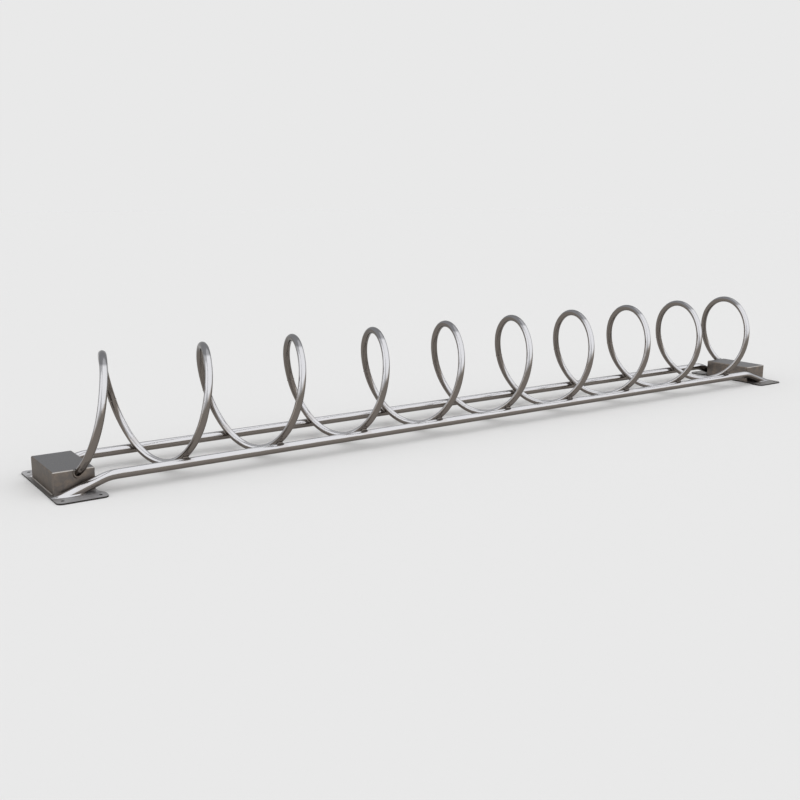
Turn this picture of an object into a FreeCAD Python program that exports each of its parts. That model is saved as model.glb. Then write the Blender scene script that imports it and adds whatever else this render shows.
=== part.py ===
import FreeCAD, Part
import math
import os
import Sketcher
from FreeCAD import Placement, Rotation, Vector

# Spiral bike rack: a ten-loop tube spiral lying along X, welded between two rails
# that stand on two base plates. Millimetres, +Z up, origin on the floor in the middle.
# Both ends are alike; the spiral sits a little nearer to the right one.
# The tubes are welded shut all round and are drawn without their bores.
SIZES = {
    "loops": 10,
    "pitch": 300.0,
    "spiral_radius": 165.0,
    "spiral_tube_diameter": 22.0,
    "spiral_shift": 18.0,
    "rail_diameter": 28.0,
    "rail_spacing": 248.0,
    "rail_height": 43.0,
    "rail_bend_offset": 23.0,
    "rail_bend_radius": 120.0,
    "rail_drop_angle": 19.0,
    "plate_depth": 372.0,
    "plate_thickness": 5.0,
    "plate_margin": 12.0,
    "plate_corner_radius": 16.0,
    "ear_width": 40.0,
    "ear_slope": 23.0,
    "recess_corner_radius": 10.0,
    "hole_diameter": 10.0,
    "hole_to_end": 19.0,
    "hole_to_side": 21.0,
    "box_offset": 54.0,
    "box_length": 114.0,
    "box_rail_gap": 5.0,
    "box_sheet": 3.0,
    "box_bend_radius": 1.0,
    "entry_cover": 7.5,
    "entry_clearance": 0.6,
    "entry_tuck": 25.0,
    "crossing_gap": 0.3,
    "seam_gap": 0.2,
    "weld_leg": 3.0,
    "crossing_weld_length": 20.0,
    "crossing_weld_height": 10.0,
    "seam_weld_width": 2.4,
    "seam_weld_seat": 0.05,
}
ARCS_PER_TURN = 8
FIRST_SEAM = 0.5
ALONG_X = Vector(1, 0, 0)
ALONG_Y = Vector(0, 1, 0)
UP = Vector(0, 0, 1)

# Lengths that follow from the driving sizes
TUBE_RADIUS = "(Sizes.spiral_tube_diameter / 2)"
RAIL_RADIUS = "(Sizes.rail_diameter / 2)"
HALF_SPACING = "(Sizes.rail_spacing / 2)"
HALF_SPIRAL = "((Sizes.loops - 1) / 2 * Sizes.pitch)"
AXIS_TO_RAIL = f"(Sizes.spiral_radius + {TUBE_RADIUS} + Sizes.crossing_gap + {RAIL_RADIUS})"
AXIS_HEIGHT = f"(Sizes.rail_height + sqrt({AXIS_TO_RAIL}^2 - {HALF_SPACING}^2))"
DROP = "(Sizes.rail_drop_angle * 1 deg)"
BEND_X = f"({HALF_SPIRAL} + Sizes.rail_bend_offset)"
FOOT_X = f"({BEND_X} + (Sizes.rail_height - Sizes.plate_thickness) / tan({DROP}))"
FOOT_LENGTH = f"({RAIL_RADIUS} / sin({DROP}))"
PLATE_LENGTH = "(Sizes.box_length + 2 * Sizes.plate_margin)"
RECESS_MOUTH = "(Sizes.plate_depth - 2 * Sizes.ear_width)"
RECESS_FLOOR = f"({RECESS_MOUTH} - 2 * Sizes.ear_slope)"
HOLE_SPACING_X = f"({PLATE_LENGTH} - 2 * Sizes.hole_to_end)"
HOLE_SPACING_Y = "(Sizes.plate_depth - 2 * Sizes.hole_to_side)"
BOX_X = f"({HALF_SPIRAL} + Sizes.box_offset + Sizes.box_length / 2)"
BOX_DEPTH = "(Sizes.rail_spacing - Sizes.rail_diameter - 2 * Sizes.box_rail_gap)"
ENTRY_HEIGHT = f"({AXIS_HEIGHT} - sqrt(Sizes.spiral_radius^2 - ({BOX_DEPTH} / 2)^2))"
BOX_HEIGHT = f"({ENTRY_HEIGHT} + Sizes.entry_cover - Sizes.plate_thickness)"
BOX_CORNER = "(Sizes.box_sheet + Sizes.box_bend_radius)"

doc = FreeCAD.newDocument("SpiralBikeRack")
sheet = doc.addObject("Spreadsheet::Sheet", "Sizes")
for row, (alias, value) in enumerate(SIZES.items(), start=1):
    sheet.set(f"A{row}", alias)
    sheet.set(f"B{row}", str(value))
    sheet.setAlias(f"B{row}", alias)
doc.recompute()


def number(expression):
    value = sheet.evalExpression(expression)
    return float(getattr(value, "Value", value))


def bind(obj, **expressions):
    """Ties properties to the sheet; a double underscore stands for a dot."""
    for name, expression in expressions.items():
        obj.setExpression(name.replace("__", "."), expression)
    return obj


def cut(name, base, *tools):
    for count, tool in enumerate(tools, start=1):
        result = doc.addObject("Part::Cut", f"{name}_cut_{count}")
        result.Base = base
        result.Tool = tool
        base = result
    base.Label = name
    return base


def group(name, members):
    result = doc.addObject("Part::Compound", name)
    result.Links = members
    return result


def copies_along_rack(name, seed, count):
    """One node of equal solids, a pitch apart."""
    doc.recompute()
    row = doc.addObject("Part::Feature", name)
    step = Vector(pitch, 0, 0)
    row.Shape = Part.makeCompound([seed.Shape.translated(step * k) for k in range(count)])
    return row


# Spiral: equal circular arcs, each tangent to the next, with their ends on a helix

pitch = number("Sizes.pitch")
spiral_radius = number("Sizes.spiral_radius")
axis_height = number(AXIS_HEIGHT)
turn_length = math.hypot(2 * math.pi * spiral_radius, pitch)


def radial(turn):
    """Outward from the spiral's axis; turn 0 faces the front and 0.25 the top."""
    angle = 2 * math.pi * turn
    return Vector(0, -math.cos(angle), math.sin(angle))


def spiral_point(turn):
    first_top = 0.25
    along = pitch * (turn - first_top) - number(f"{HALF_SPIRAL} - Sizes.spiral_shift")
    return Vector(along, 0, axis_height) + radial(turn) * spiral_radius


def spiral_tangent(turn, step):
    """Direction in which neighbouring arcs meet if each spans this share of a turn."""
    lead = math.atan(pitch * step / (2 * spiral_radius * math.tan(math.pi * step)))
    quarter_on = radial(turn + 0.25)
    return quarter_on * math.cos(lead) + ALONG_X * math.sin(lead)


def spiral_arc(turn, step):
    start = spiral_point(turn)
    end = spiral_point(turn + step)
    chord = end - start
    swing = spiral_tangent(turn, step).getAngle(chord)
    bulge = radial(turn + step / 2) * (chord.Length / 2 * math.tan(swing / 2))
    return Part.Arc(start, (start + end) * 0.5 + bulge, end).toShape()


class SpiralTube:
    """A length of the spiral, from one share of a turn to another."""

    def __init__(self, name, first, last):
        trim = number("Sizes.seam_gap") / 2 / turn_length
        first += trim
        last -= trim
        arcs = math.ceil((last - first) * ARCS_PER_TURN)
        step = (last - first) / arcs
        self.path = doc.addObject("Part::Feature", f"{name}_path")
        self.path.Shape = Part.Wire([spiral_arc(first + k * step, step) for k in range(arcs)])
        self.start = Placement(spiral_point(first), Rotation(UP, spiral_tangent(first, step)))
        self.node = self.sweep(name, TUBE_RADIUS)

    def sweep(self, name, radius):
        """Round bar along the tube's path."""
        profile = bind(doc.addObject("Part::Circle", f"{name}_profile"), Radius=radius)
        profile.Placement = self.start
        bar = doc.addObject("Part::Sweep", name)
        bar.Sections = [profile]
        bar.Spine = (self.path, [f"Edge{k + 1}" for k in range(len(self.path.Shape.Edges))])
        bar.Solid = True
        bar.Frenet = True
        return bar


full_turns = int(number("Sizes.loops")) - 1
entry_turns = math.acos(number(BOX_DEPTH) / 2 / spiral_radius) / (2 * math.pi)
end_turns = entry_turns + number("Sizes.entry_tuck") / turn_length
last_seam = FIRST_SEAM + full_turns
spiral_start = SpiralTube("spiral_start", -end_turns, FIRST_SEAM)
spiral_end = SpiralTube("spiral_end", last_seam, last_seam + end_turns)
spiral_turns = [
    SpiralTube(f"spiral_turn_{k + 1}", FIRST_SEAM + k, FIRST_SEAM + k + 1) for k in range(full_turns)
]
nodes = [tube.node for tube in (spiral_start, *spiral_turns, spiral_end)]


# Sketches

X_AXIS, Y_AXIS = -1, -2
START, END, CENTRE = 1, 2, 3


def new_sketch(body, name, role):
    sketch = body.newObject("Sketcher::SketchObject", name)
    plane = next(feature for feature in body.Origin.OriginFeatures if feature.Role == role)
    sketch.AttachmentSupport = [(plane, "")]
    sketch.MapMode = "FlatFace"
    return sketch


def constrain(sketch, kind, *where):
    return sketch.addConstraint(Sketcher.Constraint(kind, *where))


def dimension(sketch, name, expression, kind, *where):
    index = constrain(sketch, kind, *where, number(expression))
    sketch.renameConstraint(index, name)
    sketch.setExpression(f"Constraints.{name}", expression)


def draw_polygon(sketch, corners):
    """Closed outline; line k starts at corner k."""
    count = len(corners)
    for k in range(count):
        start = Vector(*corners[k], 0)
        end = Vector(*corners[(k + 1) % count], 0)
        sketch.addGeometry(Part.LineSegment(start, end))
    for k in range(count):
        constrain(sketch, "Coincident", k, END, (k + 1) % count, START)


def draw_circle(sketch, name, x, y, diameter):
    index = sketch.addGeometry(Part.Circle(Vector(x, y, 0), UP, number(diameter) / 2))
    dimension(sketch, name, diameter, "Diameter", index)
    return index


def draw_centred_box(sketch, length, depth):
    half_length = number(length) / 2
    half_depth = number(depth) / 2
    draw_polygon(
        sketch,
        [(-half_length, -half_depth), (half_length, -half_depth), (half_length, half_depth), (-half_length, half_depth)],
    )
    constrain(sketch, "Symmetric", 0, START, 1, START, Y_AXIS)
    constrain(sketch, "Symmetric", 1, START, 2, START, X_AXIS)
    constrain(sketch, "Symmetric", 2, START, 3, START, Y_AXIS)
    dimension(sketch, "length", length, "DistanceX", 0, START, 1, START)
    dimension(sketch, "depth", depth, "DistanceY", 1, START, 2, START)


def edges_where(shape, test):
    """Names of the straight edges whose middle and direction pass the test."""
    names = []
    for index, edge in enumerate(shape.Edges, start=1):
        if edge.Curve.TypeId == "Part::GeomLine" and test(edge.CenterOfMass, edge.Curve.Direction):
            names.append(f"Edge{index}")
    return names


def fillet(body, name, base, test, radius):
    doc.recompute()
    feature = body.newObject("PartDesign::Fillet", name)
    feature.Base = (base, edges_where(base.Shape, test))
    return bind(feature, Radius=radius)


def is_upright(direction):
    return abs(direction.z) > 0.99


# Rails: half of a bent tube, cut off level with the plates' tops and mirrored


def rail(name, side):
    body = doc.addObject("PartDesign::Body", name)
    section = new_sketch(body, f"{name}_section", "YZ_Plane")
    circle = draw_circle(section, "diameter", 0, 0, "Sizes.rail_diameter")
    constrain(section, "Coincident", circle, CENTRE, X_AXIS, START)
    bend_radius = number("Sizes.rail_bend_radius")
    drop = math.radians(number("Sizes.rail_drop_angle"))
    straight = f"({BEND_X} - Sizes.rail_bend_radius * tan({DROP} / 2))"
    below_plate = "(Sizes.rail_height - Sizes.plate_thickness + Sizes.rail_diameter)"
    straight_end = Vector(number(straight), 0, 0)
    bend_centre = straight_end - Vector(0, bend_radius, 0)
    bend_end = bend_centre + Vector(math.sin(drop), math.cos(drop), 0) * bend_radius
    tip = Vector(number(BEND_X) + number(below_plate) / math.tan(drop), -number(below_plate), 0)
    spine = new_sketch(body, f"{name}_spine", "XZ_Plane")
    spine.addGeometry(Part.LineSegment(Vector(0, 0, 0), straight_end))
    bend = Part.Circle(bend_centre, UP, bend_radius)
    spine.addGeometry(Part.ArcOfCircle(bend, math.pi / 2 - drop, math.pi / 2))
    spine.addGeometry(Part.LineSegment(bend_end, tip))
    constrain(spine, "Coincident", 0, START, X_AXIS, START)
    constrain(spine, "Horizontal", 0)
    constrain(spine, "Tangent", 0, END, 1, END)
    constrain(spine, "Tangent", 1, START, 2, START)
    dimension(spine, "straight", straight, "DistanceX", 0, START, 0, END)
    dimension(spine, "bend_radius", "Sizes.rail_bend_radius", "Radius", 1)
    dimension(spine, "drop", f"(-{DROP})", "Angle", 2)
    dimension(spine, "reach_down", below_plate, "DistanceY", 2, END, X_AXIS, START)
    doc.recompute()
    pipe = body.newObject("PartDesign::AdditivePipe", f"{name}_pipe")
    pipe.Profile = section
    pipe.Spine = (spine, [f"Edge{k + 1}" for k in range(len(spine.Shape.Edges))])
    foot_cut = body.newObject("PartDesign::SubtractiveBox", f"{name}_foot_cut")
    bind(
        foot_cut,
        Length=f"{FOOT_X} + 4 * {FOOT_LENGTH}",
        Width="2 * Sizes.rail_diameter",
        Height="3 * Sizes.rail_diameter",
        Placement__Base__y="-Sizes.rail_diameter",
        Placement__Base__z="Sizes.plate_thickness - Sizes.rail_height - 3 * Sizes.rail_diameter",
    )
    mirrored = body.newObject("PartDesign::Mirrored", f"{name}_mirrored")
    mirrored.TransformMode = "Whole shape"
    mirrored.MirrorPlane = (next(f for f in body.Origin.OriginFeatures if f.Role == "YZ_Plane"), [""])
    body.Tip = mirrored
    bind(body, Placement__Base__y=f"{side} * {HALF_SPACING}", Placement__Base__z="Sizes.rail_height")
    return body


nodes += [rail("front_rail", -1), rail("back_rail", 1)]


# Ends: a base plate and a folded box, drawn with +X pointing out of the rack


def place_end(obj, sign, height):
    obj.Placement = Placement(Vector(0, 0, 0), Rotation(UP, 0 if sign > 0 else 180))
    return bind(obj, Placement__Base__x=f"{sign} * {BOX_X}", Placement__Base__z=height)


def base_plate(name, sign):
    body = doc.addObject("PartDesign::Body", name)
    outline = new_sketch(body, f"{name}_outline", "XY_Plane")
    out = number(PLATE_LENGTH) / 2
    ear = number("Sizes.plate_depth") / 2
    floor = out - number("Sizes.plate_margin")
    half_floor = number(RECESS_FLOOR) / 2
    half_mouth = number(RECESS_MOUTH) / 2
    draw_polygon(
        outline,
        [
            (-out, -ear),
            (out, -ear),
            (out, ear),
            (-out, ear),
            (-out, half_mouth),
            (-floor, half_floor),
            (-floor, -half_floor),
            (-out, -half_mouth),
        ],
    )
    constrain(outline, "Symmetric", 0, START, 1, START, Y_AXIS)
    for front, back in ((0, 3), (1, 2), (7, 4), (6, 5)):
        constrain(outline, "Symmetric", front, START, back, START, X_AXIS)
    constrain(outline, "Vertical", 3)
    dimension(outline, "length", PLATE_LENGTH, "DistanceX", 0, START, 1, START)
    dimension(outline, "depth", "Sizes.plate_depth", "DistanceY", 1, START, 2, START)
    dimension(outline, "recess", "Sizes.plate_margin", "DistanceX", 4, START, 5, START)
    dimension(outline, "mouth", RECESS_MOUTH, "DistanceY", 7, START, 4, START)
    dimension(outline, "floor", RECESS_FLOOR, "DistanceY", 6, START, 5, START)
    pad = body.newObject("PartDesign::Pad", f"{name}_pad")
    pad.Profile = outline
    bind(pad, Length="Sizes.plate_thickness")
    corners = fillet(
        body,
        f"{name}_corners",
        pad,
        lambda middle, along: is_upright(along) and abs(middle.y) > half_mouth + 1,
        "Sizes.plate_corner_radius",
    )
    recess = fillet(
        body,
        f"{name}_recess",
        corners,
        lambda middle, along: is_upright(along) and middle.x < 0 and abs(middle.y) < half_mouth + 1,
        "Sizes.recess_corner_radius",
    )
    doc.recompute()
    holes = new_sketch(body, f"{name}_hole_centres", "XY_Plane")
    bind(holes, AttachmentOffset__Base__z="Sizes.plate_thickness")
    half_x = number(HOLE_SPACING_X) / 2
    half_y = number(HOLE_SPACING_Y) / 2
    corners_of_pattern = ((half_x, half_y), (-half_x, half_y), (-half_x, -half_y), (half_x, -half_y))
    for k, (x, y) in enumerate(corners_of_pattern):
        draw_circle(holes, f"hole_{k}", x, y, "Sizes.hole_diameter")
    constrain(holes, "Symmetric", 0, CENTRE, 1, CENTRE, Y_AXIS)
    constrain(holes, "Symmetric", 1, CENTRE, 2, CENTRE, X_AXIS)
    constrain(holes, "Symmetric", 2, CENTRE, 3, CENTRE, Y_AXIS)
    dimension(holes, "spacing_x", HOLE_SPACING_X, "DistanceX", 1, CENTRE, 0, CENTRE)
    dimension(holes, "spacing_y", HOLE_SPACING_Y, "DistanceY", 2, CENTRE, 1, CENTRE)
    doc.recompute()
    drilled = body.newObject("PartDesign::Hole", f"{name}_holes")
    drilled.Profile = holes
    drilled.DepthType = "ThroughAll"
    bind(drilled, Diameter="Sizes.hole_diameter")
    return place_end(body, sign, "0")


def box_shell(name, sign):
    """Folded sheet box, open below."""
    body = doc.addObject("PartDesign::Body", name)
    outline = new_sketch(body, f"{name}_outline", "XY_Plane")
    draw_centred_box(outline, "Sizes.box_length", BOX_DEPTH)
    pad = body.newObject("PartDesign::Pad", f"{name}_pad")
    pad.Profile = outline
    bind(pad, Length=BOX_HEIGHT)
    folds = fillet(body, f"{name}_folds", pad, lambda middle, along: middle.z > 1, BOX_CORNER)
    doc.recompute()
    lowest = min(range(len(folds.Shape.Faces)), key=lambda k: folds.Shape.Faces[k].CenterOfMass.z)
    shell = body.newObject("PartDesign::Thickness", f"{name}_sheet")
    shell.Base = (folds, [f"Face{lowest + 1}"])
    shell.Reversed = True
    bind(shell, Value="Sizes.box_sheet")
    return place_end(body, sign, "Sizes.plate_thickness")


def box_block(name, sign, grow):
    """Plain block around a box, larger by the same amount on its sides and top."""
    block = doc.addObject("Part::Box", name)
    length = f"(Sizes.box_length + 2 * {grow})"
    depth = f"({BOX_DEPTH} + 2 * {grow})"
    return bind(
        block,
        Length=length,
        Width=depth,
        Height=f"{BOX_HEIGHT} + {grow}",
        Placement__Base__x=f"{sign} * {BOX_X} - {length} / 2",
        Placement__Base__y=f"-{depth} / 2",
        Placement__Base__z="Sizes.plate_thickness",
    )


# Welds


def crossing_welds(name, side):
    """Beads in the groove between each full turn and a rail."""
    to_rail = Vector(0, side * number(HALF_SPACING), number("Sizes.rail_height") - axis_height)
    to_rail.normalize()
    share = math.asin(-to_rail.z) / (2 * math.pi)
    turn = 0.5 + share if side > 0 else 1 - share
    touch = spiral_point(turn) + to_rail * number(f"{TUBE_RADIUS} + Sizes.crossing_gap / 2")
    bead = doc.addObject("Part::Ellipsoid", f"{name}_bead")
    bead.Angle1 = -90
    bead.Placement = Placement(touch, Rotation(ALONG_X, Vector(), to_rail, "ZXY"))
    bind(
        bead,
        Radius1="Sizes.crossing_weld_height / 2",
        Radius2="Sizes.crossing_weld_length / 2",
        Radius3="Sizes.crossing_weld_length / 2",
    )
    core = doc.addObject("Part::Cylinder", f"{name}_rail")
    core.Placement = Placement(Vector(touch.x, 0, 0), Rotation(UP, ALONG_X))
    bind(
        core,
        Radius=RAIL_RADIUS,
        Height="2 * Sizes.crossing_weld_length",
        Placement__Base__x=f"{touch.x} - Sizes.crossing_weld_length",
        Placement__Base__y=f"{side} * {HALF_SPACING}",
        Placement__Base__z="Sizes.rail_height",
    )
    seed = cut(f"{name}_seed", bead, core, spiral_turns[0].node)
    return copies_along_rack(name, seed, full_turns)


def seam_welds(name):
    """Rings over the joints between the lengths of the spiral."""
    point = spiral_point(FIRST_SEAM)
    direction = spiral_tangent(FIRST_SEAM, 1 / ARCS_PER_TURN)
    bead = doc.addObject("Part::Torus", f"{name}_bead")
    bead.Placement = Placement(point, Rotation(UP, direction))
    bind(bead, Radius1=TUBE_RADIUS, Radius2="Sizes.seam_weld_width / 2")
    core = doc.addObject("Part::Cylinder", f"{name}_tube")
    core.Placement = Placement(point - direction * number("Sizes.seam_weld_width"), Rotation(UP, direction))
    bind(core, Radius=f"{TUBE_RADIUS} + Sizes.seam_weld_seat", Height="2 * Sizes.seam_weld_width")
    seed = cut(f"{name}_seed", bead, core)
    return copies_along_rack(name, seed, full_turns + 1)


def foot_weld(name, sign, side):
    """Fillet bead round the slanting end of a rail."""
    toe = doc.addObject("Part::Ellipse", f"{name}_toe")
    bind(
        toe,
        MajorRadius=f"{FOOT_LENGTH} + Sizes.weld_leg",
        MinorRadius=f"{RAIL_RADIUS} + Sizes.weld_leg",
        Placement__Base__x=f"{sign} * {FOOT_X}",
        Placement__Base__y=f"{side} * {HALF_SPACING}",
        Placement__Base__z="Sizes.plate_thickness",
    )
    top = doc.addObject("Part::Ellipse", f"{name}_top")
    bind(
        top,
        MajorRadius=FOOT_LENGTH,
        MinorRadius=RAIL_RADIUS,
        Placement__Base__x=f"{sign} * ({FOOT_X} - Sizes.weld_leg / tan({DROP}))",
        Placement__Base__y=f"{side} * {HALF_SPACING}",
        Placement__Base__z="Sizes.plate_thickness + Sizes.weld_leg",
    )
    flank = doc.addObject("Part::Loft", f"{name}_flank")
    flank.Sections = [toe, top]
    flank.Solid = True
    flank.Ruled = True
    drop = math.radians(number("Sizes.rail_drop_angle"))
    down = Vector(sign * math.cos(drop), 0, -math.sin(drop))
    reach = f"(2 * Sizes.rail_diameter / sin({DROP}))"
    core = doc.addObject("Part::Cylinder", f"{name}_rail")
    core.Placement = Placement(Vector(0, 0, 0), Rotation(UP, down))
    bind(
        core,
        Radius=RAIL_RADIUS,
        Height=f"2 * {reach}",
        Placement__Base__x=f"{sign} * ({FOOT_X} - {reach} * cos({DROP}))",
        Placement__Base__y=f"{side} * {HALF_SPACING}",
        Placement__Base__z=f"Sizes.plate_thickness + {reach} * sin({DROP})",
    )
    return cut(name, flank, core)


def box_weld(name, sign):
    """Quarter-round bead along a box's outer side."""
    bead = doc.addObject("Part::Cylinder", name)
    outward = ALONG_X * sign
    first, second = (UP, outward) if sign > 0 else (outward, UP)
    bead.Placement = Placement(Vector(0, 0, 0), Rotation(first, second, ALONG_Y, "XYZ"))
    bead.Angle = 90
    length = f"({BOX_DEPTH} - 2 * {BOX_CORNER})"
    return bind(
        bead,
        Radius="Sizes.weld_leg",
        Height=length,
        Placement__Base__x=f"{sign} * ({BOX_X} + Sizes.box_length / 2)",
        Placement__Base__y=f"-{length} / 2",
        Placement__Base__z="Sizes.plate_thickness",
    )


def entry_weld(name, sign, tube, box):
    """Collar on a box's outside, round the spiral where it goes in."""
    collar = doc.addObject("Part::Common", f"{name}_collar")
    collar.Base = tube.sweep(f"{name}_bar", f"{TUBE_RADIUS} + Sizes.weld_leg")
    collar.Tool = box_block(f"{name}_skin", sign, "Sizes.weld_leg")
    core = box_block(f"{name}_core", sign, "(-Sizes.box_sheet / 2)")
    return cut(name, collar, box, core, tube.node)


foot_beads = []
box_beads = []
entry_beads = []
for end, sign, tube in (("left", -1, spiral_start), ("right", 1, spiral_end)):
    entry_hole = tube.sweep(f"{end}_entry_hole", f"{TUBE_RADIUS} + Sizes.entry_clearance")
    box = cut(f"{end}_box", box_shell(f"{end}_box_shell", sign), entry_hole)
    nodes += [base_plate(f"{end}_base_plate", sign), box]
    foot_beads += [foot_weld(f"{end}_front_foot_weld", sign, -1), foot_weld(f"{end}_back_foot_weld", sign, 1)]
    box_beads.append(box_weld(f"{end}_box_weld", sign))
    entry_beads.append(entry_weld(f"{end}_entry_weld", sign, tube, box))
nodes += [
    crossing_welds("front_rail_welds", -1),
    crossing_welds("back_rail_welds", 1),
    seam_welds("spiral_seam_welds"),
    group("foot_welds", foot_beads),
    group("box_welds", box_beads),
    group("entry_welds", entry_beads),
]

doc.recompute()
for obj in doc.Objects:
    if "Invalid" in obj.State or "Error" in obj.State:
        raise RuntimeError(f"{obj.Label} did not compute: {obj.State}")
for node in nodes:
    if node.Shape.isNull() or not node.Shape.isValid() or not node.Shape.Solids:
        raise RuntimeError(f"{node.Label} has no valid solid")

os.makedirs("parts", exist_ok=True)
for node in nodes:
    node.Shape.exportStep(f"parts/{node.Label}.step")
    box = node.Shape.BoundBox
    print(f"{node.Label}: {len(node.Shape.Solids)} solids, {node.Shape.Volume:.0f} mm3, z {box.ZMin:.2f} to {box.ZMax:.2f}")
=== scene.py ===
"""Spiral bike rack of stainless steel: ten loops of tube between two rails, on two base plates.

Lengths are in metres, as in the frame.
"""
import math

import bpy
from mathutils import Euler, Matrix

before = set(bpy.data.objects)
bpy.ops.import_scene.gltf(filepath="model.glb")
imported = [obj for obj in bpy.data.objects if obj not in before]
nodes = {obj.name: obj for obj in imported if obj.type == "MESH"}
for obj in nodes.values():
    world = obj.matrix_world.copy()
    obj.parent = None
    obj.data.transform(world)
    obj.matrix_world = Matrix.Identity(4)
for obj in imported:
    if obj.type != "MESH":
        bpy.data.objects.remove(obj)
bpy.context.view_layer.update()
bpy.ops.object.select_all(action="DESELECT")

# Spiral: one long coil of 22 mm stainless steel tube, rolled in lengths of one
# turn that are butt-welded half way up the back. It hangs between the two rails,
# clear of the floor, and is welded to both of them at each turn.

PITCH = 0.300
COIL_RADIUS = 0.165
AXIS_HEIGHT = 0.18735
TURN_LENGTH = math.hypot(2 * math.pi * COIL_RADIUS, PITCH)
JOINT_TURN = 0.5
LOWEST_TURN = -0.25
LOWEST_TO_RAIL = 0.113
DULL_TOPS_FROM = 0.334
DULL_TOPS_ABOVE = 0.342

STEEL_DARK = "#b1b1b4"
STEEL_LIGHT = "#bcbcbf"
STEEL_EDGE = "#c8c8c8"
# This grey is a painted reflection on the tops of the loops and painted shade on the right feet.
STEEL_DULLED = "#868689"
# This brown is heat tint beside the welds, and also painted shade where the tubes meet.
HEAT_TINT_AND_SHADE = "#857567"
# This dark brown is a painted reflection of the ground on the undersides of the spiral.
SPIRAL_GROUND_REFLECTION = "#78716b"

# Most values of a noise texture lie between these two.
NOISE_LOW = 0.3
NOISE_HIGH = 0.7


def linear(hex_colour):
    """An sRGB hex colour as linear red, green, blue and alpha."""
    channels = [int(hex_colour[k:k + 2], 16) / 255 for k in (1, 3, 5)]
    return [c / 12.92 if c <= 0.04045 else ((c + 0.055) / 1.055) ** 2.4 for c in channels] + [1.0]


def add(tree, kind, inputs=None, **settings):
    """A new node with its settings; its inputs take values or the outputs of other nodes."""
    node = tree.nodes.new(kind)
    for name, value in settings.items():
        setattr(node, name, value)
    for socket, value in (inputs or {}).items():
        if isinstance(value, bpy.types.NodeSocket):
            tree.links.new(value, node.inputs[socket])
        else:
            node.inputs[socket].default_value = value
    return node


def new_material(name):
    """An empty material, the tree of its nodes and the place on the piece as x, y and z."""
    material = bpy.data.materials.new(name)
    material.use_nodes = True
    tree = material.node_tree
    tree.nodes.clear()
    place = add(tree, "ShaderNodeTexCoord").outputs["Object"]
    return material, tree, place


def dress(pieces, material):
    """Gives the pieces this material alone."""
    for piece in pieces:
        piece.data.materials.clear()
        piece.data.materials.append(material)


def polish_tube(tree, along_tube, from_weld, ground_reflection, painted_dulling):
    """Belt-polished stainless tube: a blurred mirror with fine lines along the tube, a faint
    brown heat tint beside the welds that is also painted shade, a greyer painted light
    and shade where the dulling mask says, and a dark brown painted reflection of the
    ground on what faces down. The lines are 0.1 mm wide in life and drawn 3 mm wide, so
    that they show."""
    line_width = 0.003
    line_length = 0.150
    line_depth = 0.000003
    stretched = add(tree, "ShaderNodeMapping", {
        "Vector": along_tube,
        "Scale": (1 / line_length, 1 / line_width, 1 / line_width),
    })
    lines = add(tree, "ShaderNodeTexNoise", {
        "Vector": stretched.outputs[0], "Scale": 1.0, "Detail": 3.0, "Roughness": 0.6,
    }).outputs["Fac"]
    smear_width = 0.045
    smears = add(tree, "ShaderNodeTexNoise", {
        "Vector": along_tube, "Scale": 1 / smear_width, "Detail": 4.0,
    }).outputs["Fac"]
    steel = add(tree, "ShaderNodeMix", {
        "Factor": lines, "A": linear(STEEL_DARK), "B": linear(STEEL_LIGHT),
    }, data_type="RGBA")

    # Beside the welds the tube turns brown and darker: heat tint, and painted shade where the
    # tubes meet.
    tint_and_shade_full_within = 0.010
    tint_and_shade_gone_past = 0.022
    tint_and_shade_strength = 0.3
    tint_and_shade = add(tree, "ShaderNodeMapRange", {
        "Value": from_weld, "From Min": tint_and_shade_full_within, "From Max": tint_and_shade_gone_past,
        "To Min": tint_and_shade_strength, "To Max": 0.0,
    }, interpolation_type="SMOOTHSTEP")
    tint_and_shade_edge = add(tree, "ShaderNodeMath", {
        0: tint_and_shade.outputs[0], 1: smears,
    }, operation="MULTIPLY")
    tinted_and_shaded = add(tree, "ShaderNodeMix", {
        "Factor": tint_and_shade_edge.outputs[0], "A": steel.outputs["Result"], "B": linear(HEAT_TINT_AND_SHADE),
    }, data_type="RGBA")
    # Where the dulling mask says, the tube is painted greyer, as painted light and shade.
    dulled = add(tree, "ShaderNodeMix", {
        "Factor": painted_dulling, "A": tinted_and_shaded.outputs["Result"], "B": linear(STEEL_DULLED),
    }, data_type="RGBA")

    # What faces down is painted dark brown, as a painted reflection of the ground.
    reflection_wander = 0.2
    reflection_full_below = 0.30
    reflection_gone_above = 0.48
    facing = add(tree, "ShaderNodeTexCoord").outputs["Normal"]
    upward = add(tree, "ShaderNodeSeparateXYZ", {0: facing}).outputs["Z"]
    ragged = add(tree, "ShaderNodeMath", {
        0: smears, 1: reflection_wander, 2: upward,
    }, operation="MULTIPLY_ADD")
    out_of_reflection = add(tree, "ShaderNodeMapRange", {
        "Value": ragged.outputs[0], "From Min": reflection_full_below, "From Max": reflection_gone_above,
    }, interpolation_type="SMOOTHSTEP")
    coloured = add(tree, "ShaderNodeMix", {
        "Factor": out_of_reflection.outputs[0], "A": linear(ground_reflection), "B": dulled.outputs["Result"],
    }, data_type="RGBA")

    least_blur = 0.12
    most_blur = 0.20
    blur = add(tree, "ShaderNodeMapRange", {
        "Value": smears, "From Min": NOISE_LOW, "From Max": NOISE_HIGH,
        "To Min": least_blur, "To Max": most_blur,
    })
    scratched = add(tree, "ShaderNodeBump", {
        "Height": lines, "Strength": 1.0, "Distance": line_depth,
    })
    shader = add(tree, "ShaderNodeBsdfPrincipled", {
        "Base Color": coloured.outputs["Result"],
        "Metallic": 1.0,
        "Roughness": blur.outputs[0],
        "Specular Tint": linear(STEEL_EDGE),
        "Normal": scratched.outputs[0],
    })
    add(tree, "ShaderNodeOutputMaterial", {"Surface": shader.outputs[0]})


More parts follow.
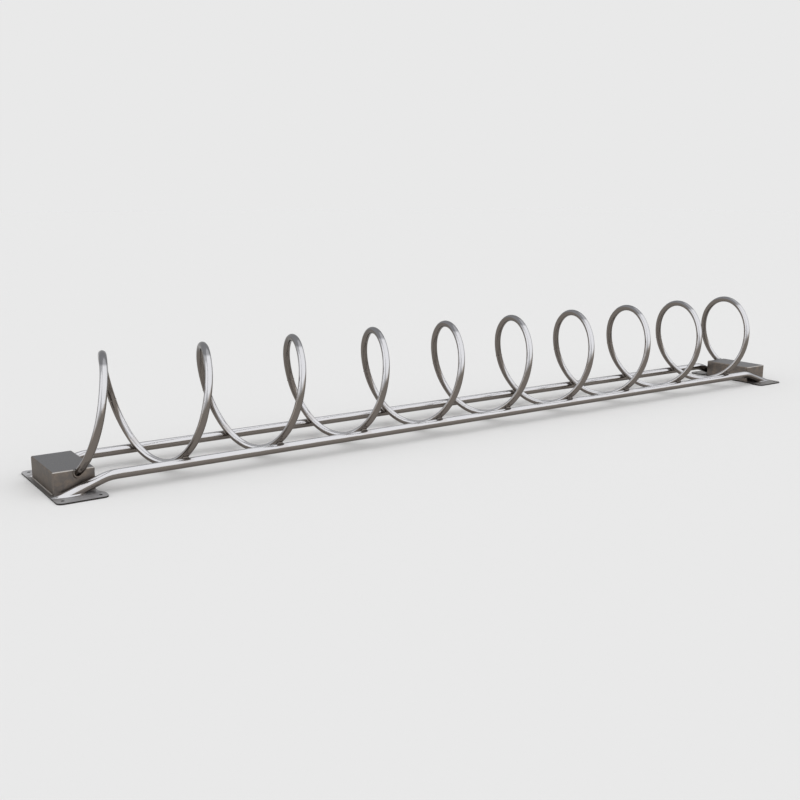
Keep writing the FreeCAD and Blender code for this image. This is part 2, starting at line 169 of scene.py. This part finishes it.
# The share of a turn runs from -0.5 to 0.5 between two joints, with 0 at the
# front and 0.25 at the top, so the polish follows each length of tube.
spiral_steel, tree, place = new_material("polished_stainless_spiral")
spot = add(tree, "ShaderNodeSeparateXYZ", {0: place})
height = add(tree, "ShaderNodeMath", {
    0: spot.outputs["Z"], 1: AXIS_HEIGHT,
}, operation="SUBTRACT")
forward = add(tree, "ShaderNodeMath", {0: spot.outputs["Y"], 1: -1.0}, operation="MULTIPLY")
angle = add(tree, "ShaderNodeMath", {
    0: height.outputs[0], 1: forward.outputs[0],
}, operation="ARCTAN2")
turn = add(tree, "ShaderNodeMath", {
    0: angle.outputs[0], 1: 1 / (2 * math.pi),
}, operation="MULTIPLY")
along = add(tree, "ShaderNodeMath", {0: turn.outputs[0], 1: TURN_LENGTH}, operation="MULTIPLY")
sideways = add(tree, "ShaderNodeMath", {
    0: turn.outputs[0], 1: -PITCH, 2: spot.outputs["X"],
}, operation="MULTIPLY_ADD")
section = add(tree, "ShaderNodeCombineXYZ", {"Y": spot.outputs["Y"], "Z": height.outputs[0]})
outward = add(tree, "ShaderNodeVectorMath", {0: section.outputs[0]}, operation="LENGTH")
along_spiral = add(tree, "ShaderNodeCombineXYZ", {
    "X": along.outputs[0], "Y": sideways.outputs[0], "Z": outward.outputs["Value"],
})
# The welds are at the joints and at the two rails, as far before a turn's lowest
# point as after it.
from_front = add(tree, "ShaderNodeMath", {0: turn.outputs[0]}, operation="ABSOLUTE")
from_joint = add(tree, "ShaderNodeMath", {
    0: JOINT_TURN, 1: from_front.outputs[0],
}, operation="SUBTRACT")
past_lowest = add(tree, "ShaderNodeMath", {
    0: turn.outputs[0], 1: LOWEST_TURN,
}, operation="SUBTRACT")
from_lowest = add(tree, "ShaderNodeMath", {0: past_lowest.outputs[0]}, operation="ABSOLUTE")
past_rail = add(tree, "ShaderNodeMath", {
    0: from_lowest.outputs[0], 1: LOWEST_TO_RAIL,
}, operation="SUBTRACT")
from_rail = add(tree, "ShaderNodeMath", {0: past_rail.outputs[0]}, operation="ABSOLUTE")
nearest = add(tree, "ShaderNodeMath", {
    0: from_joint.outputs[0], 1: from_rail.outputs[0],
}, operation="MINIMUM")
from_weld = add(tree, "ShaderNodeMath", {
    0: nearest.outputs[0], 1: TURN_LENGTH,
}, operation="MULTIPLY")
# The tops of the loops are painted greyer, as a painted reflection.
painted_dulling = add(tree, "ShaderNodeMapRange", {
    "Value": spot.outputs["Z"], "From Min": DULL_TOPS_FROM, "From Max": DULL_TOPS_ABOVE,
}, interpolation_type="SMOOTHSTEP")
polish_tube(
    tree, along_spiral.outputs[0], from_weld.outputs[0], SPIRAL_GROUND_REFLECTION, painted_dulling.outputs[0],
)
dress([nodes["spiral_start"], nodes["spiral_end"]], spiral_steel)
dress([nodes[f"spiral_turn_{k}"] for k in range(1, 10)], spiral_steel)

# Rails: two lengths of 28 mm stainless steel tube, polished like the spiral, bent
# down at both ends and cut flat where they stand on the plates. The spiral's
# turns cross the two rails a little way apart.

SPIRAL_SHIFT = 0.018
CROSSING_SHIFT = 0.034
RAIL_BEND = 1.373
BEND_REACH = 0.020
FOOT_DULLING = 0.8

# This dark brown is a painted reflection of the ground on the undersides of the rails.
RAIL_GROUND_REFLECTION = "#7f7872"

rail_steel, tree, place = new_material("polished_stainless_rail")
spot = add(tree, "ShaderNodeSeparateXYZ", {0: place})
side = add(tree, "ShaderNodeMath", {0: spot.outputs["Y"]}, operation="SIGN")
from_lowest = add(tree, "ShaderNodeMath", {
    0: spot.outputs["X"], 1: SPIRAL_SHIFT,
}, operation="SUBTRACT")
shifted = add(tree, "ShaderNodeMath", {
    0: side.outputs[0], 1: CROSSING_SHIFT, 2: from_lowest.outputs[0],
}, operation="MULTIPLY_ADD")
from_crossing = add(tree, "ShaderNodeMath", {
    0: shifted.outputs[0], 1: PITCH / 2,
}, operation="PINGPONG")
# The feet at the right end are painted greyer, as painted shade.
painted_dulling = add(tree, "ShaderNodeMapRange", {
    "Value": spot.outputs["X"],
    "From Min": RAIL_BEND - BEND_REACH,
    "From Max": RAIL_BEND + BEND_REACH,
    "To Max": FOOT_DULLING,
}, interpolation_type="SMOOTHSTEP")
polish_tube(tree, place, from_crossing.outputs[0], RAIL_GROUND_REFLECTION, painted_dulling.outputs[0])
dress([nodes["front_rail"], nodes["back_rail"]], rail_steel)

# Base plates: 5 mm stainless plate with rounded corners, cut by laser and left as
# rolled, so it is satin and not polished. Each one has four holes for ground bolts.

PLATE_TOP = 0.005
CUT_BELOW = PLATE_TOP - 0.0008
FACE_ABOVE = PLATE_TOP - 0.0001
BOX_END = 1.518
STRIP_HALF = 0.100
STRIP_END = 0.145
ROLLED_WIDTH = 0.002
ROLLED_LENGTH = 0.060
ROLLED_DEPTH = 0.00001
CLOUD_WIDTH = 0.040
CLOUD_STRENGTH = 0.5

PLATE_STEEL = "#aeaeb0"
# This dull colour is rain stains, and also painted shade on the right plate and a painted
# reflection beside the left box.
PLATE_STAIN_AND_SHADE = "#6e6c6b"
# This dark is laser oxide, deepened as painted shade on the edges and in the holes.
PLATE_CUT_AND_SHADE = "#3d3a38"

plate_steel, tree, place = new_material("rolled_stainless_plate")
# Rolling leaves lines along the plate, under 1 mm wide and drawn 2 mm wide, and
# rain leaves dull clouds some 40 mm across. The right plate is painted dull all over as
# painted shade, and the strip outside the left box is painted dark as a painted
# reflection of the box.
spot = add(tree, "ShaderNodeSeparateXYZ", {0: place})
rolled = add(tree, "ShaderNodeMapping", {
    "Vector": place, "Scale": (1 / ROLLED_WIDTH, 1 / ROLLED_LENGTH, 1 / ROLLED_WIDTH),
})
grain = add(tree, "ShaderNodeTexNoise", {
    "Vector": rolled.outputs[0], "Scale": 1.0, "Detail": 3.0,
}).outputs["Fac"]
clouds = add(tree, "ShaderNodeTexNoise", {
    "Vector": place, "Scale": 1 / CLOUD_WIDTH, "Detail": 5.0, "Roughness": 0.6,
}).outputs["Fac"]
stained = add(tree, "ShaderNodeMapRange", {
    "Value": clouds, "From Min": 0.45, "From Max": 0.75, "To Min": 0.0, "To Max": CLOUD_STRENGTH,
})
on_right = add(tree, "ShaderNodeMath", {
    0: spot.outputs["X"], 1: 0.0,
}, operation="GREATER_THAN")
outside_box = add(tree, "ShaderNodeMath", {
    0: spot.outputs["X"], 1: -BOX_END,
}, operation="LESS_THAN")
off_middle = add(tree, "ShaderNodeMath", {0: spot.outputs["Y"]}, operation="ABSOLUTE")
beside_box = add(tree, "ShaderNodeMapRange", {
    "Value": off_middle.outputs[0], "From Min": STRIP_HALF, "From Max": STRIP_END,
    "To Min": 1.0, "To Max": 0.0,
}, interpolation_type="SMOOTHSTEP")
# The strip beside the left box is painted dark, as a painted reflection of the box.
box_reflection_strip = add(tree, "ShaderNodeMath", {
    0: outside_box.outputs[0], 1: beside_box.outputs[0],
}, operation="MULTIPLY")
# The whole right plate is painted dull, as painted shade.
stains_and_right_shade = add(tree, "ShaderNodeMath", {
    0: stained.outputs[0], 1: on_right.outputs[0],
}, operation="MAXIMUM")
stains_and_shade = add(tree, "ShaderNodeMath", {
    0: stains_and_right_shade.outputs[0], 1: box_reflection_strip.outputs[0],
}, operation="MAXIMUM")
face = add(tree, "ShaderNodeMix", {
    "Factor": stains_and_shade.outputs[0], "A": linear(PLATE_STEEL), "B": linear(PLATE_STAIN_AND_SHADE),
}, data_type="RGBA")
# The laser leaves the edges and the walls of the bolt holes dark, and they are painted darker
# still as painted shade.
on_face = add(tree, "ShaderNodeMapRange", {
    "Value": spot.outputs["Z"], "From Min": CUT_BELOW, "From Max": FACE_ABOVE,
})
colour = add(tree, "ShaderNodeMix", {
    "Factor": on_face.outputs[0], "A": linear(PLATE_CUT_AND_SHADE), "B": face.outputs["Result"],
}, data_type="RGBA")
blur = add(tree, "ShaderNodeMapRange", {
    "Value": grain, "From Min": NOISE_LOW, "From Max": NOISE_HIGH,
    "To Min": 0.46, "To Max": 0.56,
})
lined = add(tree, "ShaderNodeBump", {
    "Height": grain, "Strength": 1.0, "Distance": ROLLED_DEPTH,
})
shader = add(tree, "ShaderNodeBsdfPrincipled", {
    "Base Color": colour.outputs["Result"],
    "Metallic": 1.0,
    "Roughness": blur.outputs[0],
    "Normal": lined.outputs[0],
})
add(tree, "ShaderNodeOutputMaterial", {"Surface": shader.outputs[0]})
dress([nodes["left_base_plate"], nodes["right_base_plate"]], plate_steel)

# Boxes: 3 mm stainless sheet folded over the ends of the spiral and welded to the
# plates. The sheet is pickled, so it is matt; its top is painted lighter and its sides
# darker and browner, as painted light and shade, and the sides are stained brown.

HIGHLIGHT_ABOVE = 0.0652
TOP_ABOVE = 0.0673
MOTTLE_WIDTH = 0.003
MOTTLE_DEPTH = 0.00012
STAIN_WIDTH = 0.025
STAIN_STRENGTH = 0.9

# The top colour is painted lighter and the side colour darker and browner, as painted light and
# shade.
BOX_TOP_LIT = "#7d7d7f"
BOX_SIDE_SHADED = "#6f6a66"
BOX_STAIN = "#877b70"
# This pale colour is a painted highlight on the front and back bends.
BOX_BEND_HIGHLIGHT = "#b0aeac"

box_steel, tree, place = new_material("pickled_stainless_sheet")
# Pickling etches the surface into fine mottling, under 1 mm and drawn 3 mm across.
# The stains are about 25 mm wide, and the bends along the front and the back carry
# a painted highlight.
spot = add(tree, "ShaderNodeSeparateXYZ", {0: place})
mottle = add(tree, "ShaderNodeTexNoise", {
    "Vector": place, "Scale": 1 / MOTTLE_WIDTH, "Detail": 3.0, "Roughness": 0.7,
}).outputs["Fac"]
stains = add(tree, "ShaderNodeTexNoise", {
    "Vector": place, "Scale": 1 / STAIN_WIDTH, "Detail": 6.0, "Roughness": 0.7,
}).outputs["Fac"]
stained = add(tree, "ShaderNodeMapRange", {
    "Value": stains, "From Min": 0.42, "From Max": 0.68, "To Min": 0.0, "To Max": STAIN_STRENGTH,
})
side_colour = add(tree, "ShaderNodeMix", {
    "Factor": stained.outputs[0], "A": linear(BOX_SIDE_SHADED), "B": linear(BOX_STAIN),
}, data_type="RGBA")
on_bend = add(tree, "ShaderNodeMath", {
    0: spot.outputs["Z"], 1: HIGHLIGHT_ABOVE,
}, operation="GREATER_THAN")
facing = add(tree, "ShaderNodeTexCoord").outputs["Normal"]
forward = add(tree, "ShaderNodeSeparateXYZ", {0: facing}).outputs["Y"]
front_or_back = add(tree, "ShaderNodeMath", {0: forward}, operation="ABSOLUTE")
# The front and back bends are painted pale, as a painted highlight.
bend_highlight = add(tree, "ShaderNodeMath", {
    0: on_bend.outputs[0], 1: front_or_back.outputs[0],
}, operation="MULTIPLY")
on_top = add(tree, "ShaderNodeMath", {
    0: spot.outputs["Z"], 1: TOP_ABOVE,
}, operation="GREATER_THAN")
bend_colour = add(tree, "ShaderNodeMix", {
    "Factor": bend_highlight.outputs[0], "A": side_colour.outputs["Result"], "B": linear(BOX_BEND_HIGHLIGHT),
}, data_type="RGBA")
# The top is painted lighter than the sides, as painted light.
colour = add(tree, "ShaderNodeMix", {
    "Factor": on_top.outputs[0], "A": bend_colour.outputs["Result"], "B": linear(BOX_TOP_LIT),
}, data_type="RGBA")
blur = add(tree, "ShaderNodeMapRange", {
    "Value": mottle, "From Min": NOISE_LOW, "From Max": NOISE_HIGH,
    "To Min": 0.32, "To Max": 0.46,
})
etched = add(tree, "ShaderNodeBump", {
    "Height": mottle, "Strength": 1.0, "Distance": MOTTLE_DEPTH,
})
shader = add(tree, "ShaderNodeBsdfPrincipled", {
    "Base Color": colour.outputs["Result"],
    "Metallic": 1.0,
    "Roughness": blur.outputs[0],
    "Specular Tint": linear(STEEL_EDGE),
    "Normal": etched.outputs[0],
})
add(tree, "ShaderNodeOutputMaterial", {"Surface": shader.outputs[0]})
dress([nodes["left_box"], nodes["right_box"]], box_steel)

# Weld beads: stainless filler, laid at every crossing, joint, foot and box side
# and brushed off by hand. They stay rippled and duller than the tube, and are painted
# darker, partly as painted shade.

RIPPLE_WIDTH = 0.0025
RIPPLE_DEPTH = 0.0003

# The bead colour is duller steel darkened as painted shade, and the hollow colour is painted
# shade.
BEAD_STEEL_AND_SHADE = "#8f8a86"
BEAD_HOLLOW_SHADE = "#5e564f"

bead_steel, tree, place = new_material("brushed_weld_bead")
# The ripples are 1.5 mm apart in life and drawn 2.5 mm apart, and their hollows are painted
# darker as painted shade.
ripples = add(tree, "ShaderNodeTexVoronoi", {
    "Vector": place, "Scale": 1 / RIPPLE_WIDTH, "Randomness": 0.8,
})
colour = add(tree, "ShaderNodeMix", {
    "Factor": ripples.outputs["Distance"], "A": linear(BEAD_STEEL_AND_SHADE), "B": linear(BEAD_HOLLOW_SHADE),
}, data_type="RGBA")
rounded = add(tree, "ShaderNodeBump", {
    "Height": ripples.outputs["Distance"], "Strength": 1.0, "Distance": RIPPLE_DEPTH,
}, invert=True)
shader = add(tree, "ShaderNodeBsdfPrincipled", {
    "Base Color": colour.outputs["Result"],
    "Metallic": 1.0,
    "Roughness": 0.35,
    "Normal": rounded.outputs[0],
})
add(tree, "ShaderNodeOutputMaterial", {"Surface": shader.outputs[0]})
dress([nodes["front_rail_welds"], nodes["back_rail_welds"]], bead_steel)
dress([nodes["spiral_seam_welds"], nodes["box_welds"]], bead_steel)
# The beads round the ends of the spiral were pickled with the boxes, and those
# round the rails' feet were polished with the rails.
dress([nodes["entry_welds"]], box_steel)
dress([nodes["foot_welds"]], rail_steel)

# Floor and light: a plain pale floor that runs into a background of the same
# colour, under a broad soft light from above and a smaller one from the left.

FLOOR_WIDTH = 80.0
FLOOR = "#e9e9e9"
FILL_STRENGTH = 0.482

bpy.ops.mesh.primitive_plane_add(size=FLOOR_WIDTH)
floor = bpy.context.object
floor.name = "floor"
floor_paint, tree, place = new_material("matt_floor_paint")
matt = add(tree, "ShaderNodeBsdfDiffuse", {"Color": linear(FLOOR)})
add(tree, "ShaderNodeOutputMaterial", {"Surface": matt.outputs[0]})
dress([floor], floor_paint)

world = bpy.data.worlds.new("studio")
bpy.context.scene.world = world
world.use_nodes = True
tree = world.node_tree
tree.nodes.clear()
ray = add(tree, "ShaderNodeLightPath")
seen_or_mirrored = add(tree, "ShaderNodeMath", {
    0: ray.outputs["Is Camera Ray"], 1: ray.outputs["Is Glossy Ray"],
}, operation="MAXIMUM")
seen = add(tree, "ShaderNodeMath", {
    0: seen_or_mirrored.outputs[0], 1: ray.outputs["Is Transmission Ray"],
}, operation="MAXIMUM")
fill = add(tree, "ShaderNodeBackground", {
    "Color": (1.0, 1.0, 1.0, 1.0), "Strength": FILL_STRENGTH,
})
backdrop = add(tree, "ShaderNodeBackground", {"Color": linear(FLOOR), "Strength": 1.0})
both = add(tree, "ShaderNodeMixShader", {
    0: seen.outputs[0], 1: fill.outputs[0], 2: backdrop.outputs[0],
})
add(tree, "ShaderNodeOutputWorld", {"Surface": both.outputs[0]})

soft_lights = {
    "overhead_soft_light": {"angle": 110, "energy": 1.56, "tilt": 30, "bearing": -38},
    "left_soft_light": {"angle": 60, "energy": 0.589, "tilt": 62, "bearing": 162},
}
for name, light in soft_lights.items():
    lamp = bpy.data.lights.new(name, "SUN")
    lamp.angle = math.radians(light["angle"])
    lamp.energy = light["energy"]
    lamp_object = bpy.data.objects.new(name, lamp)
    lamp_object.rotation_euler = (0, math.radians(light["tilt"]), math.radians(light["bearing"]))
    bpy.context.scene.collection.objects.link(lamp_object)

# Camera: the photograph's own place and lens, for a square picture of 800 pixels.
# It looks down from level, turned to the right along the rack, with a slight roll.

PICTURE = 800
FOCAL_PIXELS = 991.54
SENSOR_WIDTH = 36.0
CAMERA_PLACE = (-2.1959, -2.6995, 0.7920)
DEGREES_DOWN = 11.77
DEGREES_RIGHT = 34.653
DEGREES_ROLL = 0.17

camera = bpy.data.cameras.new("camera")
camera.sensor_fit = "HORIZONTAL"
camera.sensor_width = SENSOR_WIDTH
camera.lens = SENSOR_WIDTH * FOCAL_PIXELS / PICTURE
aim = Euler((math.radians(90 - DEGREES_DOWN), 0, math.radians(-DEGREES_RIGHT))).to_matrix()
aim = aim @ Matrix.Rotation(math.radians(DEGREES_ROLL), 3, "Z")
camera_object = bpy.data.objects.new("camera", camera)
camera_object.matrix_world = Matrix.Translation(CAMERA_PLACE) @ aim.to_4x4()
bpy.context.scene.collection.objects.link(camera_object)
bpy.context.scene.camera = camera_object
bpy.context.scene.view_settings.view_transform = "Standard"
